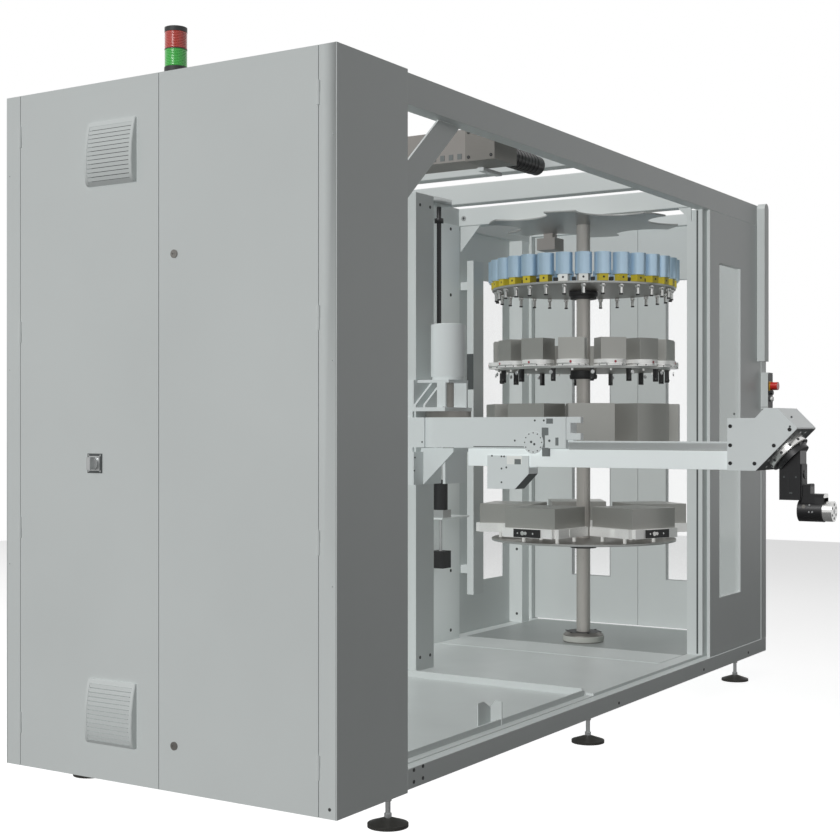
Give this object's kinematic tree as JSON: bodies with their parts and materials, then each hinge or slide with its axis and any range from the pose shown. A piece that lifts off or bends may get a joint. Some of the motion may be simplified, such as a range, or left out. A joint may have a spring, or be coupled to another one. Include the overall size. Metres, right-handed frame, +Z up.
{
  "type": "palletizing robot cell",
  "caption": "Free-standing robot cell: a column robot with a telescopic arm and turning head serves a rotary magazine of pallets behind a control cabinet.",
  "frame": {"origin": "on the floor, under the axis of the magazine's shaft, at the sole of the centre foot", "axes": "+X out of the open side towards the machine tool, +Y away from the control cabinet towards the rear doors, +Z up"},
  "size_m": [2.208, 3.7293, 2.481],
  "materials": {
    "panel_grey": "smooth satin paint",
    "frame_grey": "satin paint",
    "floor_grey": "satin paint",
    "robot_white": "satin paint",
    "gear": "matt",
    "black_metal": "semi-matt",
    "drive_grey": "satin paint",
    "black_plastic": "matt",
    "green_glass": "clear lens",
    "red_glass": "clear lens",
    "red_plastic": "gloss",
    "white_plastic": "gloss",
    "steel": "turned",
    "zinc": "zinc plated",
    "pane": "clear",
    "blank_blue": "machined",
    "block_grey": "dull, sawn",
    "holder_yellow": "matt",
    "pallet_steel": "ground"
  },
  "bodies": {
    "cell": {"cabinet_sides": "panel_grey", "cabinet_panels": "panel_grey", "control_gear": "gear", "door_hinges": "zinc", "tower_body": "black_plastic", "green_lens": "green_glass", "red_lens": "red_glass", "base_frame": "frame_grey", "floor_tray": "floor_grey", "roof_side_beams": "frame_grey", "roof_cross_beams": "frame_grey", "upright_posts": "frame_grey", "knee_braces": "frame_grey", "left_wall": "panel_grey", "side_panel": "panel_grey", "side_window_panes": "pane", "levelling_feet": "black_plastic", "operator_box": "panel_grey", "robot_column": "frame_grey", "lift_rod": "black_metal", "lift_drive": "drive_grey", "service_unit": "frame_grey", "floor_bearing": "frame_grey", "star_plate": "frame_grey", "magazine_drive": "drive_grey"},
    "left_door": {"left_door": "panel_grey", "filter_grilles": "panel_grey", "switch_plate": "black_metal"},
    "main_switch": {"main_switch_handle": "zinc"},
    "right_door": {"right_door": "panel_grey"},
    "upper_lock": {"upper_lock": "black_metal"},
    "lower_lock": {"lower_lock": "black_metal"},
    "rear_left_door": {"rear_left_door": "panel_grey", "rear_left_pane": "pane"},
    "rear_right_door": {"rear_right_door": "panel_grey", "rear_right_pane": "pane", "rear_door_handle": "black_plastic"},
    "estop": {"estop_button": "red_plastic"},
    "start": {"start_button": "black_plastic"},
    "stop": {"stop_button": "white_plastic"},
    "carriage": {"carriage": "robot_white", "swivel_motor": "robot_white"},
    "arm": {"arm_housing": "robot_white", "swivel_shaft": "steel", "arm_fittings": "robot_white"},
    "beam": {"telescopic_beam": "robot_white", "head_housing": "robot_white"},
    "wrist": {"wrist_body": "black_metal", "gripper_body": "black_metal"},
    "clamp": {"clamp_bolt": "steel"},
    "magazine": {"magazine_shaft": "steel", "magazine_discs": "steel", "tool_blanks": "blank_blue", "tool_holders": "holder_yellow", "round_pallets": "pallet_steel", "round_workpieces": "block_grey", "large_pallets": "pallet_steel", "large_workpieces": "block_grey", "square_pallets": "pallet_steel", "square_workpieces": "block_grey"}
  },
  "joints": [
    {"name": "left_door_hinge", "type": "hinge", "parent": "cell", "child": "left_door", "pos_m": [-0.60575, -2.977, 1.2], "axis": [0, 0, 1], "range_deg": [-110, 0]},
    {"name": "main_switch_turn", "type": "hinge", "parent": "left_door", "child": "main_switch", "pos_m": [-0.267, -2.984, 1.097], "axis": [0, 1, 0], "range_deg": [0, 90]},
    {"name": "right_door_hinge", "type": "hinge", "parent": "cell", "child": "right_door", "pos_m": [0.60575, -2.977, 1.2], "axis": [0, 0, 1], "range_deg": [0, 110]},
    {"name": "upper_lock_turn", "type": "hinge", "parent": "right_door", "child": "upper_lock", "pos_m": [0.064, -2.979, 1.739], "axis": [0, 1, 0], "range_deg": [0, 90]},
    {"name": "lower_lock_turn", "type": "hinge", "parent": "right_door", "child": "lower_lock", "pos_m": [0.064, -2.979, 0.241], "axis": [0, 1, 0], "range_deg": [0, 90]},
    {"name": "rear_left_hinge", "type": "hinge", "parent": "cell", "child": "rear_left_door", "pos_m": [-0.599, 0.677, 1.2], "axis": [0, 0, 1], "range_deg": [0, 110]},
    {"name": "rear_right_hinge", "type": "hinge", "parent": "cell", "child": "rear_right_door", "pos_m": [0.599, 0.677, 1.2], "axis": [0, 0, 1], "range_deg": [-110, 0]},
    {"name": "estop_press", "type": "slide", "parent": "cell", "child": "estop", "axis": [-1, 0, 0], "range_m": [0, 0.004], "stiffness_N_per_m": 800},
    {"name": "start_press", "type": "slide", "parent": "cell", "child": "start", "axis": [-1, 0, 0], "range_m": [0, 0.004], "stiffness_N_per_m": 400},
    {"name": "stop_press", "type": "slide", "parent": "cell", "child": "stop", "axis": [-1, 0, 0], "range_m": [0, 0.004], "stiffness_N_per_m": 400},
    {"name": "lift", "type": "slide", "parent": "cell", "child": "carriage", "axis": [0, 0, 1], "range_m": [-0.55, 0.5]},
    {"name": "swivel", "type": "hinge", "parent": "carriage", "child": "arm", "pos_m": [-0.1, -1.09, 1.19], "axis": [0, 0, 1], "range_deg": [-35, 35]},
    {"name": "telescope", "type": "slide", "parent": "arm", "child": "beam", "axis": [1, 0, 0], "range_m": [-0.03, 0.25]},
    {"name": "wrist_turn", "type": "hinge", "parent": "beam", "child": "wrist", "pos_m": [1.347, -1.09, 1.129], "axis": [0.7071, 0, -0.7071], "range_deg": [0, 180]},
    {"name": "clamp_stroke", "type": "slide", "parent": "wrist", "child": "clamp", "axis": [1, 0, 0], "range_m": [0, 0.004]},
    {"name": "magazine_turn", "type": "hinge", "parent": "cell", "child": "magazine", "pos_m": [0, 0, 1.2], "axis": [0, 0, 1], "continuous": true}
  ]
}
